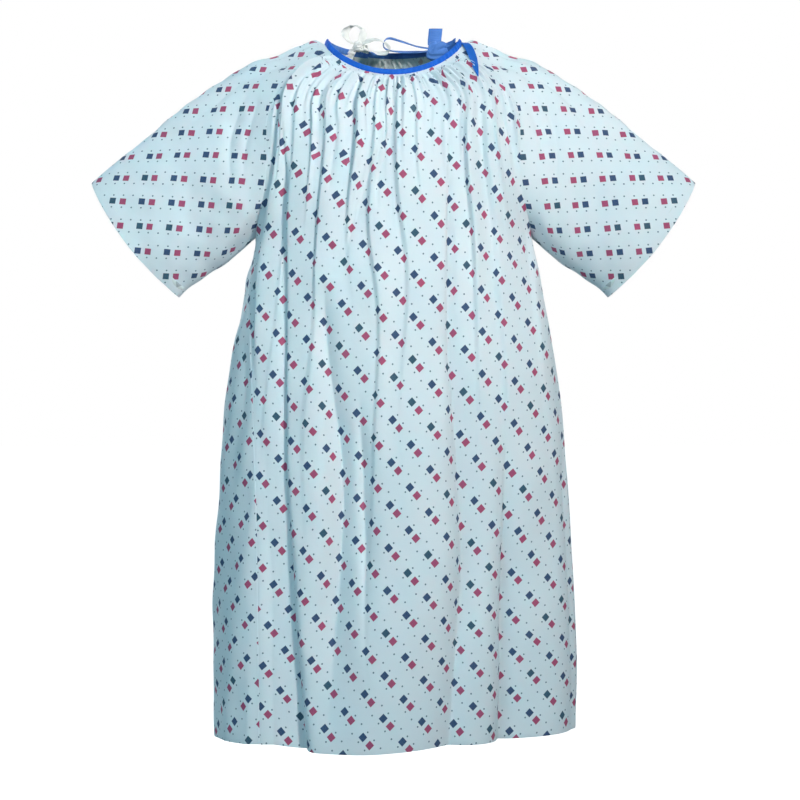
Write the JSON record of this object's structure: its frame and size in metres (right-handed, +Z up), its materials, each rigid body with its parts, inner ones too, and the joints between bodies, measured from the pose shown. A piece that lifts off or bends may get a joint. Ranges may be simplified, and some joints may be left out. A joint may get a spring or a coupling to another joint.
{
  "type": "patient gown",
  "caption": "Short-sleeved patient gown with a gathered bound neck, raglan sleeves and a lapped back that ties at the neck.",
  "frame": {"origin": "centre of the neck opening, level with the tops of the shoulders", "axes": "+Z up along the gown's length, front towards -Y, wearer's left towards +X"},
  "size_m": [1.0044, 0.3298, 1.1908],
  "materials": {
    "printed_cloth": "plain-weave cotton blend, pale blue with small printed squares",
    "binding_cloth": "plain blue folded binding cloth",
    "white_tape": "thin white cotton tape"
  },
  "bodies": {
    "body": {"front_panel": "printed_cloth", "back_panel_left": "printed_cloth", "back_panel_right": "printed_cloth", "sleeve_head_left": "printed_cloth", "sleeve_head_right": "printed_cloth", "neck_binding": "binding_cloth", "neck_tie_knot": "binding_cloth", "neck_tie_loop": "binding_cloth", "neck_tie_upright": "binding_cloth", "neck_tie_strap": "binding_cloth", "neck_tie_tail": "binding_cloth", "inner_tie_knot": "white_tape", "inner_tie_upper_loop": "white_tape", "inner_tie_lower_loop": "white_tape", "inner_tie_tail": "white_tape", "inner_tie_strap": "white_tape"},
    "sleeve_left": {"sleeve_left": "printed_cloth"},
    "sleeve_right": {"sleeve_right": "printed_cloth"},
    "back_flap_right": {"back_flap_right": "printed_cloth"}
  },
  "joints": [
    {"name": "sleeve_left_lift", "type": "hinge", "parent": "body", "child": "sleeve_left", "pos_m": [0.24, 0, -0.18], "axis": [0, -1, 0], "range_deg": [0, 35]},
    {"name": "sleeve_right_lift", "type": "hinge", "parent": "body", "child": "sleeve_right", "pos_m": [-0.24, 0, -0.18], "axis": [0, 1, 0], "range_deg": [0, 35]},
    {"name": "back_flap_swing", "type": "hinge", "parent": "body", "child": "back_flap_right", "pos_m": [0.066, 0.138, -0.15], "axis": [0.275, 0, 0.9614], "range_deg": [0, 60]}
  ]
}
